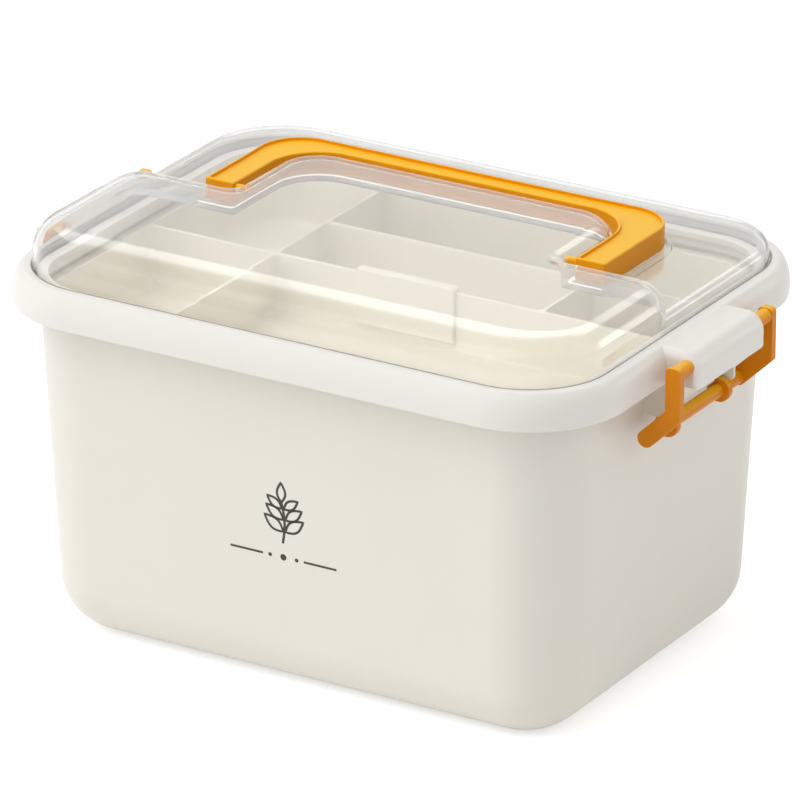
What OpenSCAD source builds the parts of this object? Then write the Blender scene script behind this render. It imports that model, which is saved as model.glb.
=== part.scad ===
// Medicine storage box: a drafted tub with a lift-out divided tray, and a lid
// made of a frosted collar that carries a clear raised cover, a folding carry
// handle and two swing latches that hook under catches on the tub's ends.
// Millimetres. Origin on the ground under the middle of the tub, length along X,
// front towards -Y, +Z up.

/* [Tub] */
// Length of the tub's wall just under its rim
tub_l = 266.6; // [240:0.1:300]
// Width of the tub's wall just under its rim
tub_w = 197; // [180:0.1:220]
// Height of the tub to its top edge
tub_h = 160; // [145:0.5:190]
// Thickness of the tub's wall
tub_t = 2.2; // [1.8:0.1:2.6]
// Corner radius of the tub in plan, just under the rim
tub_r = 33.3; // [30:0.1:40]
// How far each short end leans in from rim to foot
draft_x = 7; // [3:0.1:9]
// How far each long side leans in from rim to foot
draft_y = 7.7; // [3:0.1:9]
// How much tighter the corners are at the foot
draft_r = 4.5; // [1:0.1:5]
// Radius of the rounded edge round the bottom
foot_r = 23.4; // [12:0.2:24]
// How far the rim steps out from the wall
rim_out = 3; // [2.6:0.1:3.6]
// Height of the stepped-out rim
rim_h = 10.5; // [9.5:0.1:12]

/* [Catches] */
// Half the length of the middle block of each catch
catch_mid = 19.4; // [12:0.2:19.8]
// How far the middle block stands out from the tub's wall line
catch_mid_out = 7.2; // [5:0.1:8]
// Thickness of the two end ribs
rib_t = 1.6; // [1.2:0.1:3]
// Distance between the two end ribs
rib_gap = 48.6; // [48.2:0.1:52]
// How far the end ribs reach out past the middle of the latch's rod
rib_over = 5.3; // [3:0.1:5.4]
// Radius of the lower outer corner of each rib
rib_r = 2.5; // [2.4:0.1:3]

/* [Tray] */
// Height of the tray
tray_h = 27; // [24:0.5:60]
// Thickness of the tray's outer wall
tray_t = 1.6; // [1.2:0.1:2.4]
// Thickness of the tray's rim flange
tray_flange = 1.6; // [1.2:0.1:2]
// How far the tray's wall leans in from its rim to its bottom
tray_draft = 2.5; // [1:0.1:4]
// Radius of the tray's bottom edge
tray_foot_r = 6; // [3:0.5:10]
// Thickness of the dividers
div_t = 1.8; // [1.2:0.1:3]
// Corner radius of the compartments at the dividers
cell_r = 3; // [1:0.5:8]
// Distance of the cross dividers from the middle of the length
div_x = 65.5; // [50:0.5:80]
// Position of the long middle divider
div_mid_y = 4.4; // [-10:0.1:15]
// Position of the long back divider
div_back_y = 47; // [36:0.5:60]
// Length of the grip on the middle divider
grip_l = 49; // [36:0.5:70]
// Thickness of the grip
grip_t = 5; // [3:0.1:8]
// How far the grip stands above the tray's rim
grip_up = 2.2; // [1:0.1:3]
// Depth of the grip below the tray's rim
grip_down = 22; // [12:0.5:22]

/* [Lid collar] */
// Space between the tub's rim and the skirt
skirt_gap = 6.2; // [4:0.1:8]
// Thickness of the skirt
skirt_t = 2.5; // [2:0.1:3.4]
// How far the skirt hangs below the tub's top edge
skirt_drop = 10; // [8:0.1:11]
// Thickness of the roof that the cover stands on
roof_t = 2.8; // [2:0.1:3.4]
// Depth of the seat round the cover's foot
seat_d = 2.7; // [1.5:0.1:3.5]
// Width of the seat that the cover's foot stands on
seat_w = 7; // [4.6:0.1:9]
// Width of the rounded shoulder
shoulder_w = 5.6; // [4:0.1:7]
// Height of the rounded shoulder
shoulder_h = 10.9; // [8:0.1:13]
// Width of the flat band between shoulder and seat
band_w = 2.9; // [1.5:0.1:4]
// Thickness of the lip that drops inside the tub's rim
lip_t = 1.7; // [1.2:0.1:2.4]
// How far the lip reaches below the roof
lip_h = 4.7; // [3:0.1:5.2]

/* [Latch bumps on the collar] */
// Length of each bump
bump_l = 59; // [56:0.5:62]
// How far each bump stands out from the collar
bump_out = 14.2; // [13.2:0.1:16]
// Radius of the bump's rounded top edge
bump_r = 8; // [5:0.1:8.4]
// How far the bump's top lies below the collar's top
bump_low = 0.5; // [0.3:0.1:1]
// How far the bump hangs below the skirt
bump_drop = 0.6; // [0:0.1:1.5]
// Depth of the peg bores in the bump's ends
bore_d = 5; // [4:0.1:8]

/* [Latches] */
// Distance of the latch's pivot behind the bump's outer face
pivot_in = 5.1; // [4.7:0.1:5.4]
// Height of the pivot above the bump's underside
pivot_up = 9.7; // [8.5:0.1:11]
// Radius of the pivot pegs
peg_r = 3.3; // [2.4:0.1:3.4]
// Distance between the inner faces of the two arms
arm_gap = 75; // [72:0.5:78]
// Thickness of each arm
arm_t = 3.6; // [3:0.1:5]
// Width of each arm
arm_w = 7; // [6.8:0.1:8.2]
// How far the arm reaches above the pivot
arm_up = 3.5; // [3:0.1:4]
// Radius of the rounded corners at the top of each arm
tip_r = 2.2; // [1:0.1:3]
// How far the heel of the arm lies below the pivot
arm_down = 19.9; // [18:0.1:22]
// How far the rod lies inwards of the pivot
rod_in = 12.5; // [12.2:0.1:12.8]
// How far the rod lies below the pivot
rod_down = 30.2; // [28.5:0.1:32]
// Radius of the rounded end of each leg
leg_r = 3.8; // [3.4:0.1:4]
// Radius of the rod
rod_r = 3; // [2.4:0.1:3.2]
// Radius of the two collars on the rod
ring_r = 5.5; // [4.5:0.1:6]
// Thickness of the two collars on the rod
ring_t = 3.4; // [2:0.1:3.6]
// Distance between the middles of the two collars
ring_gap = 44.2; // [43.8:0.1:44.6]

/* [Clear cover] */
// Thickness of the cover's wall
dome_t = 2; // [1.6:0.1:2.4]
// Height of the low back part above the collar's top
low_h = 7.6; // [6.5:0.1:9]
// Radius of the low part's outer edge
low_edge = 4; // [3:0.1:5]
// How far the low part stands in from the front part's wall
low_in = 0.4; // [0.2:0.1:1]
// Height of the raised front part above the collar's top
bar_h = 19.5; // [18:0.1:22]
// Position of the step between the front part and the low part
step_y = -3.6; // [-12:0.1:-2]
// Width of the front part's rounding at its ends
bar_end_w = 12; // [8:0.1:16]
// Width of the front part's rounding along the front
bar_front_w = 19; // [10:0.1:24]
// Height of the front part's rounding
bar_round_h = 13; // [10:0.1:14]
// Radius of the rounding above the step and round the middle block
edge_r = 9; // [6:0.1:9.5]
// Corner radius of the front part at the step's ends
bar_corner = 16.5; // [12:0.5:22]
// Length of the raised middle block behind the step
block_l = 164; // [140:0.5:180]
// Position of the middle block's back
block_back = 52.5; // [44:0.5:58]
// Corner radius of the middle block
block_r = 22; // [14:0.5:26]
// Depth of the shallow recess that the handle lies in
recess_d = 1; // [0.5:0.1:1.4]
// How far the recess reaches past the handle
recess_over = 1.4; // [1:0.1:4]

/* [Carry handle] */
// Width of the handle's legs
leg_w = 14.4; // [10:0.1:18]
// Width of the handle's grip bar
bar_w = 11; // [9:0.1:18]
// Thickness of the handle
handle_t = 10.5; // [9:0.1:10.6]
// Space between the legs and the middle block
handle_side = 1.8; // [1.5:0.1:4]
// Space between the grip bar and the middle block
handle_back = 1.9; // [1.2:0.1:4]
// Outer corner radius of the handle
handle_ro = 19; // [14:0.5:24]
// Inner corner radius of the handle
handle_ri = 24; // [16:0.5:28]
// Space between the ends of the legs and the step
handle_front = 3.9; // [3.4:0.1:6]
// Depth of the groove in the handle's top
groove_d = 1.4; // [0.6:0.1:2.4]
// Width of the raised edges of the groove
groove_edge = 1.3; // [0.8:0.1:2]
// Radius of the hinge pins
pin_r = 1.8; // [1.4:0.1:2.2]
// How far the pins reach in from the legs
pin_l = 5.8; // [5:0.1:8]
// Distance of the pins from the ends of the legs
pin_y = 2.7; // [2.5:0.1:3.2]
// Height of the pins above the handle's underside
pin_z = 7.6; // [7:0.1:7.8]
// Bevel on the lower end of each leg
leg_bevel = 1.2; // [1:0.1:2]

/* [Fits] */
// Running clearance round pegs and pins
run_gap = 0.05; // [0.03:0.01:0.1]
// Height of the gap where one moving piece rests on another
rest_gap = 0.2; // [0.2:0.05:0.4]
// Height of the gap under the folded handle
handle_gap = 0.5; // [0.4:0.05:0.8]
// Clearance between the tub's rim and what drops inside it
drop_gap = 0.4; // [0.3:0.05:0.6]
// Clearance between the tub's wall and the tray's wall
tray_gap = 0.7; // [0.5:0.05:1.2]
// Gap of the seam between cover and collar
seam_gap = 0.1; // [0.05:0.05:0.2]
// Slack between the latch's rod and the catch
catch_gap = 0.7; // [0.5:0.05:1]

/* [Hidden] */
fn = 48;
// Steps round each plan corner, and round each moulded edge
seg = 9;
arcs = 7;

// Tub
wall_h = tub_h - rim_h;
ledge_z = wall_h + tub_t;

// Collar, as distances outwards from the tub's wall line
out_o = rim_out + skirt_gap + skirt_t;
seat_o = out_o - shoulder_w - band_w;
hole_o = seat_o - seat_w;
lip_o = rim_out - tub_t - drop_gap;
roof_z = tub_h + rest_gap;
seat_z = roof_z + roof_t;
collar_z = seat_z + seat_d;
skirt_z = tub_h - skirt_drop;
collar_x = tub_l / 2 + out_o;
lip_z = roof_z - lip_h;

// Latches and catches
bump_x = collar_x + bump_out;
bump_z = skirt_z - bump_drop;
pivot_x = bump_x - pivot_in;
pivot_z = bump_z + pivot_up;
rod_x = pivot_x - rod_in;
rod_z = pivot_z - rod_down;
catch_z = rod_z + rod_r + catch_gap;
catch_top = bump_z - rest_gap - 0.1;
catch_root = tub_l / 2 - 0.85 * tub_t;

// Tray
flange_z = ledge_z + rest_gap;
tray_top = flange_z + tray_flange;
tray_z = tray_top - tray_h;
tray_o = -tub_t - tray_gap;

// Cover
dome_o = seat_o - seam_gap;
dome_x = tub_l / 2 + dome_o;
dome_y = tub_w / 2 + dome_o;
dome_r = tub_r + dome_o;
low_z = collar_z + low_h;
bar_z = collar_z + bar_h;
recess_z = low_z - recess_d;

// Handle
hand_in = block_l / 2 + handle_side;
hand_out = hand_in + leg_w;
hand_y0 = step_y + handle_front;
hand_y1 = block_back + handle_back;
hand_y2 = hand_y1 + bar_w;
hand_z = recess_z + handle_gap;
hinge_y = hand_y0 + pin_y;
hinge_z = hand_z + pin_z;

// One level line: a rectangle x0..x1, y0..y1 at height z. Its four corners are
// quarter ellipses whose half axes are in q, from the right front one round to
// the left front one.
function ring(x0, x1, y0, y1, q, z) = [
    for (c = [0:3], k = [0:seg])
        let (a = 90 * c - 90 + 90 * k / seg,
             cx = c < 2 ? x1 - q[c][0] : x0 + q[c][0],
             cy = (c == 1 || c == 2) ? y1 - q[c][1] : y0 + q[c][1])
        [cx + q[c][0] * cos(a), cy + q[c][1] * sin(a), z]];

function same(r) = [for (c = [0:3]) [max(r, 0.5), max(r, 0.5)]];

// Level line at distance o outwards from the tub's upright wall line
function plan(o, z) =
    ring(-tub_l / 2 - o, tub_l / 2 + o, -tub_w / 2 - o, tub_w / 2 + o, same(tub_r + o), z);

// Level line of the tub's drafted wall, moved outwards by o
function wall_line(o, z) =
    let (d = 1 - z / wall_h,
         hx = tub_l / 2 - draft_x * d + o,
         hy = tub_w / 2 - draft_y * d + o)
    ring(-hx, hx, -hy, hy, same(tub_r - draft_r * d + o), z);

// Solid through a pile of level lines, closed by a flat face at both ends
module stack(lines) {
    m = len(lines[0]);
    n = len(lines);
    sides = [
        for (j = [0:n - 2], i = [0:m - 1])
            let (a = j * m + i,
                 b = j * m + (i + 1) % m,
                 c = (j + 1) * m + (i + 1) % m,
                 d = (j + 1) * m + i)
            each [[a, d, c], [a, c, b]]];
    polyhedron(
        points = [for (l = lines) each l],
        faces = concat(
            [[for (i = [0:m - 1]) i]],
            [[for (i = [m - 1:-1:0]) (n - 1) * m + i]],
            sides),
        convexity = 10);
}

// Closed band: the same, with its last level line joined to its first
module band(lines) {
    m = len(lines[0]);
    n = len(lines);
    polyhedron(
        points = [for (l = lines) each l],
        faces = [
            for (j = [0:n - 1], i = [0:m - 1])
                let (a = j * m + i,
                     b = j * m + (i + 1) % m,
                     c = ((j + 1) % n) * m + (i + 1) % m,
                     d = ((j + 1) % n) * m + i)
                each [[a, d, c], [a, c, b]]],
        convexity = 10);
}

// Flat plate outline with round corners: front corners rf, back corners rb
module round_rect(x0, x1, y0, y1, rf, rb) {
    translate([x0, y0 + rf])
        square([x1 - x0, y1 - y0 - rf - rb]);
    translate([x0 + rf, y0])
        square([x1 - x0 - 2 * rf, (y1 - y0) / 2]);
    translate([x0 + rb, (y0 + y1) / 2])
        square([x1 - x0 - 2 * rb, (y1 - y0) / 2]);
    for (x = [x0 + rf, x1 - rf])
        translate([x, y0 + rf])
            circle(r = rf, $fn = fn);
    for (x = [x0 + rb, x1 - rb])
        translate([x, y1 - rb])
            circle(r = rb, $fn = fn);
}

// An outline drawn in X and Z, made d long along Y from y0
module along_y(y0, d) {
    translate([0, y0 + d, 0])
        rotate([90, 0, 0])
            linear_extrude(height = d)
                children();
}

// The catch on the right end: two ribs and a middle block under the bump
module catch() {
    rib_x = rod_x + rib_over;
    for (s = [-1, 1])
        along_y(s * (rib_gap + rib_t) / 2 - rib_t / 2, rib_t) {
            translate([catch_root, catch_z + rib_r])
                square([rib_x - catch_root, catch_top - catch_z - rib_r]);
            translate([catch_root, catch_z])
                square([rib_x - rib_r - catch_root, catch_top - catch_z]);
            translate([rib_x - rib_r, catch_z + rib_r])
                circle(r = rib_r, $fn = fn);
        }
    translate([catch_root, -catch_mid, catch_z])
        cube([tub_l / 2 + catch_mid_out - catch_root, 2 * catch_mid, catch_top - catch_z]);
}

module tub() {
    color([0.93, 0.92, 0.89]) {
        stack(concat(
            [for (k = [0:arcs]) let (a = 90 * k / arcs)
                wall_line(-foot_r * (1 - sin(a)), foot_r * (1 - cos(a)))],
            [wall_line(0, wall_h), plan(rim_out, wall_h), plan(rim_out, tub_h)],
            [plan(rim_out - tub_t, tub_h), plan(rim_out - tub_t, ledge_z), plan(-tub_t, ledge_z)],
            [for (k = [arcs:-1:0]) let (a = 90 * k / arcs, r = foot_r - tub_t)
                wall_line(-tub_t - r * (1 - sin(a)), tub_t + r * (1 - cos(a)))]));
        catch();
        mirror([1, 0, 0])
            catch();
    }
}

// Level line of the tray's drafted body, moved outwards by o
function tray_line(o, z) = plan(tray_o - tray_draft * (flange_z - z) / tray_h + o, z);

// The six compartments between the dividers
module cells() {
    h = div_t / 2;
    far_x = tub_l / 2;
    far_y = tub_w / 2;
    translate([0, 0, tray_z])
        linear_extrude(height = tray_h + 1) {
            round_rect(-far_x, -div_x - h, -far_y, div_mid_y - h, cell_r, cell_r);
            round_rect(-div_x + h, far_x, -far_y, div_mid_y - h, cell_r, cell_r);
            round_rect(-far_x, -div_x - h, div_mid_y + h, far_y, cell_r, cell_r);
            round_rect(-div_x + h, div_x - h, div_mid_y + h, div_back_y - h, cell_r, cell_r);
            round_rect(div_x + h, far_x, div_mid_y + h, div_back_y - h, cell_r, cell_r);
            round_rect(-div_x + h, far_x, div_back_y + h, far_y, cell_r, cell_r);
        }
}

module tray() {
    r = tray_foot_r;
    ri = tray_foot_r - tray_t;
    color([0.92, 0.91, 0.88]) {
        difference() {
            stack(concat(
                [for (k = [0:arcs]) let (a = 90 * k / arcs)
                    tray_line(-r * (1 - sin(a)), tray_z + r * (1 - cos(a)))],
                [tray_line(0, flange_z), plan(lip_o, flange_z), plan(lip_o, tray_top)]));
            intersection() {
                stack(concat(
                    [for (k = [0:arcs]) let (a = 90 * k / arcs)
                        tray_line(-tray_t - ri * (1 - sin(a)), tray_z + tray_t + ri * (1 - cos(a)))],
                    [tray_line(-tray_t, tray_top + 0.5)]));
                cells();
            }
        }
        along_y(div_mid_y - grip_t / 2, grip_t)
            round_rect(-grip_l / 2, grip_l / 2, tray_top - grip_down, tray_top + grip_up, 1, 2);
    }
}

// The right-hand bump of the collar, with its rounded top edge
module bump() {
    top = collar_z - bump_low;
    root = collar_x - skirt_t / 2;
    inner = collar_x - shoulder_w;
    along_y(-bump_l / 2, bump_l) {
        translate([root, bump_z])
            square([bump_x - root, top - bump_r - bump_z]);
        translate([root, bump_z])
            square([bump_x - bump_r - root, top - bump_z]);
        translate([inner, seat_z - 1])
            square([bump_x - bump_r - inner, top - seat_z + 1]);
        translate([bump_x - bump_r, top - bump_r])
            circle(r = bump_r, $fn = fn);
    }
}

// The two blind peg bores of the right-hand bump
module peg_bores() {
    for (s = [-1, 1])
        translate([pivot_x, s * (bump_l / 2 + 1), pivot_z])
            rotate([s * 90, 0, 0])
                cylinder(r = peg_r + run_gap, h = bore_d + 1, $fn = fn);
}

module lid_rim() {
    wide_z = collar_z - shoulder_h;
    color([0.9, 0.9, 0.9])
        difference() {
            union() {
                band(concat(
                    [plan(out_o - 0.2, skirt_z), plan(out_o, wide_z)],
                    [for (k = [1:arcs]) let (a = 90 * k / arcs)
                        plan(out_o - shoulder_w * (1 - cos(a)), wide_z + shoulder_h * sin(a))],
                    [plan(seat_o, collar_z), plan(seat_o, seat_z), plan(hole_o, seat_z)],
                    [plan(hole_o, roof_z), plan(lip_o - lip_t, roof_z), plan(lip_o - lip_t, lip_z)],
                    [plan(lip_o, lip_z), plan(lip_o, roof_z), plan(out_o - skirt_t, roof_z)],
                    [plan(out_o - skirt_t, skirt_z)]));
                bump();
                mirror([1, 0, 0])
                    bump();
            }
            peg_bores();
            mirror([1, 0, 0])
                peg_bores();
        }
}

// Level line of the raised front part, moved in by u and with its top rounding
// run to the share s of its width
function bar_line(u, s, e, z) =
    let (ix = u + s * bar_end_w,
         iy = u + s * bar_front_w,
         ib = u + e,
         fx = max(dome_r - ix, 1),
         fy = max(dome_r - iy, 1),
         bx = max(bar_corner - ix, 1),
         by = max(bar_corner - ib, 1))
    ring(-dome_x + ix, dome_x - ix, -dome_y + iy, step_y - ib,
        [[fx, fy], [bx, by], [bx, by], [fx, fy]], z);

// The raised front part, moved in by u on every side
module bar_body(u, z0) {
    h = bar_round_h - u / 2;
    z1 = bar_z - u;
    r = edge_r - u / 2;
    stack(concat(
        [bar_line(u, 0, 0, z0)],
        [for (k = [0:arcs + 1]) let (
                a = 90 * k / (arcs + 1),
                z = z1 - h * (1 - sin(a)),
                t = min(max((z - z1 + r) / r, 0), 1))
            bar_line(u, 1 - cos(a), r * (1 - sqrt(1 - t * t)), z)]));
}

// The raised middle block, moved in by u on every side
module block_body(u, z0) {
    hx = block_l / 2 - u;
    y0 = step_y - bar_front_w - block_r - 10;
    y1 = block_back - u;
    z1 = bar_z - u;
    r = edge_r - u / 2;
    stack(concat(
        [ring(-hx, hx, y0, y1, same(block_r - u), z0)],
        [for (k = [0:arcs]) let (a = 90 * k / arcs, i = r * (1 - cos(a)))
            ring(-hx + i, hx - i, y0, y1 - i, same(block_r - u - i), z1 - r * (1 - sin(a)))]));
}

// The low back part, moved in by u on every side
module low_body(u, z0) {
    o = dome_o - low_in - u;
    r = low_edge - u / 2;
    z1 = low_z - u;
    stack(concat(
        [plan(o, z0)],
        [for (k = [0:arcs]) let (a = 90 * k / arcs)
            plan(o - r * (1 - cos(a)), z1 - r * (1 - sin(a)))]));
}

// What the handle's shallow recess takes off, or with u what its floor keeps
module recess(u) {
    x = hand_out + recess_over + u;
    translate([0, 0, recess_z - u])
        linear_extrude(height = recess_d + 2 * u + 1)
            round_rect(-x, x, step_y - 12, hand_y2 + recess_over + u, 1, handle_ro + recess_over + u);
}

module lid_dome() {
    color([0.86, 0.92, 0.95, 0.45])
        difference() {
            union() {
                difference() {
                    low_body(0, seat_z);
                    recess(0);
                }
                bar_body(0, seat_z);
                block_body(0, seat_z + 1);
            }
            union() {
                difference() {
                    low_body(dome_t, seat_z - 1);
                    recess(dome_t);
                }
                bar_body(dome_t, seat_z - 1);
                block_body(dome_t, seat_z - 1);
            }
            for (s = [-1, 1])
                translate([s * (block_l / 2 - 4), hinge_y, hinge_z])
                    rotate([0, 90, 0])
                        cylinder(r = pin_r + run_gap, h = 12, center = true, $fn = fn);
        }
}

// The handle's U outline, drawn in by e on every side
module handle_outline(e) {
    difference() {
        round_rect(-hand_out + e, hand_out - e, hand_y0 + e, hand_y2 - e, 0.6, handle_ro - e);
        round_rect(-hand_in - e, hand_in + e, hand_y0 - 20, hand_y1 + e, 0.6, handle_ri + e);
    }
}

module carry_handle() {
    color([0.96, 0.66, 0.14])
        difference() {
            union() {
                translate([0, 0, hand_z])
                    linear_extrude(height = handle_t)
                        handle_outline(0);
                for (s = [-1, 1])
                    translate([s * (hand_in + 1 - (pin_l + 1) / 2), hinge_y, hinge_z])
                        rotate([0, 90, 0])
                            cylinder(r = pin_r, h = pin_l + 1, center = true, $fn = fn);
            }
            translate([0, 0, hand_z + handle_t - groove_d])
                linear_extrude(height = groove_d + 1)
                    handle_outline(groove_edge);
            translate([0, hand_y0, hand_z])
                rotate([45, 0, 0])
                    cube([2 * hand_out + 10, leg_bevel * sqrt(2), leg_bevel * sqrt(2)], center = true);
        }
}

// One latch for the right end: two cranked arms, the rod between their legs,
// the rod's two collars and the pegs that snap into the bump
module latch() {
    dx = rod_in + arm_w / 2;
    dz = rod_down - arm_down;
    leg_a = atan2(dz, dx) + asin(leg_r / norm([dx, dz]));
    nx = sin(leg_a);
    nz = cos(leg_a);
    x0 = pivot_x - arm_w / 2;
    x1 = pivot_x + arm_w / 2;
    arm_z = pivot_z + arm_up;
    heel_z = rod_z - leg_r * nz + (x1 - rod_x - leg_r * nx) * tan(leg_a);
    knee_z = rod_z + leg_r * nz + (x0 - rod_x + leg_r * nx) * tan(leg_a);
    for (s = [-1, 1])
        along_y(s * (arm_gap + arm_t) / 2 - arm_t / 2, arm_t) {
            polygon(concat(
                [[x0, knee_z],
                 [rod_x - leg_r * nx, rod_z + leg_r * nz],
                 [rod_x, rod_z],
                 [rod_x + leg_r * nx, rod_z - leg_r * nz],
                 [x1, heel_z]],
                [for (a = [0:15:90])
                    [x1 - tip_r * (1 - cos(a)), arm_z - tip_r * (1 - sin(a))]],
                [for (a = [90:15:180])
                    [x0 + tip_r * (1 + cos(a)), arm_z - tip_r * (1 - sin(a))]]));
            translate([rod_x, rod_z])
                circle(r = leg_r, $fn = fn);
        }
    along_y(-arm_gap / 2 - 1, arm_gap + 2)
        translate([rod_x, rod_z])
            circle(r = rod_r, $fn = fn);
    for (s = [-1, 1]) {
        along_y(s * ring_gap / 2 - ring_t / 2, ring_t)
            translate([rod_x, rod_z])
                circle(r = ring_r, $fn = fn);
        translate([pivot_x, s * (arm_gap / 2 + 1), pivot_z])
            rotate([s * 90, 0, 0])
                cylinder(r = peg_r, h = (arm_gap - bump_l) / 2 + bore_d + 0.5, $fn = fn);
    }
}

module latch_right() {
    color([0.96, 0.66, 0.14])
        latch();
}

module latch_left() {
    color([0.96, 0.66, 0.14])
        mirror([1, 0, 0])
            latch();
}

tub();
tray();
lid_rim();
lid_dome();
carry_handle();
latch_left();
latch_right();
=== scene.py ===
import bmesh
import bpy
import numpy as np
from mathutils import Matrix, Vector
from mathutils.geometry import delaunay_2d_cdt


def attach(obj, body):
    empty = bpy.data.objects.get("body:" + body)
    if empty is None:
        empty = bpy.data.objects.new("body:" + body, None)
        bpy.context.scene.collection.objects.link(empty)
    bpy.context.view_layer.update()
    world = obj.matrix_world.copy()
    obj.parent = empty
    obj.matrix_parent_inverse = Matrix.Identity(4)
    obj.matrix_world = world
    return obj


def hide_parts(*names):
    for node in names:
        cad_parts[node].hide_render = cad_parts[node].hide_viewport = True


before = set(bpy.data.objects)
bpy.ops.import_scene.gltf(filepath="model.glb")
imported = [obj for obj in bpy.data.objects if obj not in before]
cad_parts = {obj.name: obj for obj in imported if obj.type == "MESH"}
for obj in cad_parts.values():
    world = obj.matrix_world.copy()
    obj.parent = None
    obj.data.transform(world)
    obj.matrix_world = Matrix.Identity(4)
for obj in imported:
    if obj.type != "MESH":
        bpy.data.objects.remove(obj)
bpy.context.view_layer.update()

# The tub: one injection moulding in warm white polypropylene, drafted so that it
# leaves the mould, with a turned-out rim and a ledge inside for the tray.
MM = 0.001  # metres in a millimetre, which every size below is given in
TUB_L, TUB_W, TUB_H, TUB_T, TUB_R = 266.6, 197.0, 160.0, 2.2, 33.3
DRAFT_X, DRAFT_Y, DRAFT_R = 7.0, 7.7, 4.5  # how far ends, sides and corner radius draw in towards the foot
FOOT_R, RIM_OUT, RIM_H = 23.4, 3.0, 10.5
CAP_O = -60.0  # inwards of this a level bottom is one flat face
LEAST_R = 0.6  # smallest corner radius in plan of tub, tray and collar
WALL_H = TUB_H - RIM_H
LEDGE_Z = WALL_H + TUB_T
MERGE = 2e-6  # points nearer than this, in metres, become one
NEAR = 1e-9  # a length that counts as none
BEVEL_STEPS, FLAT_WEIGHT = 3, 60
NOISE_RANGE = (0.3, 0.7)  # the part of the noise's values that is spread over the whole range
PAINTED_SHADE_UP_RANGE = (0.2, 0.95)  # the normal's upward share from where a face counts as upright to where it counts as level; the painted shade of upright faces fades out over it
GRAIN_BUMP, GRAIN_DEPTH = 0.02, 0.0002


def level_lines(x0, x1, y0, y1, rx, ry, z, n=20):
    """Closed level lines, one for each row of the arrays. Each is a rectangle x0..x1, y0..y1 at height z whose
    corner k is a quarter ellipse: centre + (rx cos a, ry sin a), with a running from -90 degrees round once."""
    x0, x1, y0, y1, z = (np.broadcast_to(np.asarray(v, float), np.shape(z)) for v in (x0, x1, y0, y1, z))
    rx, ry = (np.broadcast_to(np.asarray(v, float).reshape(len(z), -1) if np.ndim(v) else v, (len(z), 4))
              for v in (rx, ry))
    a = np.pi / 2 * (np.arange(4)[:, None] - 1 + np.linspace(0, 1, n + 1))
    cx = np.stack([x1 - rx[:, 0], x1 - rx[:, 1], x0 + rx[:, 2], x0 + rx[:, 3]], 1)
    cy = np.stack([y0 + ry[:, 0], y1 - ry[:, 1], y1 - ry[:, 2], y0 + ry[:, 3]], 1)
    x = cx[:, :, None] + rx[:, :, None] * np.cos(a)
    y = cy[:, :, None] + ry[:, :, None] * np.sin(a)
    return np.stack([x, y, np.broadcast_to(z[:, None, None], x.shape)], 3).reshape(len(z), -1, 3)


def soften(points, closed=False, n=5):
    """An outline of (across, up, radius) corners with every corner turned into an arc: the arc's centre lies on the
    corner's bisector, at radius / sin(half angle), and its ends touch both sides. End points of an open one stay."""
    p = np.array(points, float)
    q, r = p[:, :2], p[:, 2]
    u = np.roll(q, 1, 0) - q
    v = np.roll(q, -1, 0) - q
    u /= np.linalg.norm(u, axis=1, keepdims=True)
    v /= np.linalg.norm(v, axis=1, keepdims=True)
    half = np.arccos(np.clip((u * v).sum(1), -1, 1)) / 2
    mid = (u + v) / np.maximum(np.linalg.norm(u + v, axis=1, keepdims=True), NEAR)
    centre = q + mid * (r / np.sin(half))[:, None]
    start = q + u * (r / np.tan(half))[:, None] - centre
    end = q + v * (r / np.tan(half))[:, None] - centre
    turn = (np.pi - 2 * half)[:, None, None]
    f = np.linspace(0, 1, n + 1)[None, :, None]
    swept = np.sin((1 - f) * turn) * start[:, None] + np.sin(f * turn) * end[:, None]
    arcs = centre[:, None] + swept / np.sin(turn)
    if closed:
        return arcs.reshape(-1, 2)
    return np.vstack([q[:1], arcs[1:-1].reshape(-1, 2), q[-1:]])


def tub_lines(outline):
    """Level lines of the tub at the distances and heights in outline: the wall line leans in with the draft below the
    rim, so half length, half width and corner radius all shrink in proportion to the depth under the rim."""
    o, z = outline[:, 0], outline[:, 1]
    d = np.clip(1 - z / WALL_H, 0, 1)
    hx, hy = TUB_L / 2 - DRAFT_X * d + o, TUB_W / 2 - DRAFT_Y * d + o
    r = np.maximum(TUB_R - DRAFT_R * d + o, LEAST_R)
    return level_lines(-hx, hx, -hy, hy, r[:, None], r[:, None], z)


def grid_faces(rows, cols, wrap_rows=False, wrap_cols=True, flip=False):
    """Four-sided faces of a grid of rows x cols points; they face outwards when the columns run anticlockwise
    seen from above and the rows run up the outside."""
    r = np.arange(rows if wrap_rows else rows - 1)[:, None]
    c = np.arange(cols if wrap_cols else cols - 1)[None, :]
    r1, c1 = (r + 1) % rows, (c + 1) % cols
    f = np.stack([r * cols + c, r * cols + c1, r1 * cols + c1, r1 * cols + c], 2).reshape(-1, 4)
    return f[:, ::-1] if flip else f


def capped(skin, first=True, last=True, flip=False):
    """A part made of a grid of points whose rows are closed lines, with a flat cap on the first and the last row
    where asked."""
    rows, cols = skin.shape[:2]
    row = np.arange(cols)
    caps = [row[::-1]] * first + [row + (rows - 1) * cols] * last
    return skin, grid_faces(rows, cols, flip=flip).tolist() + [(c[::-1] if flip else c).tolist() for c in caps]


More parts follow.
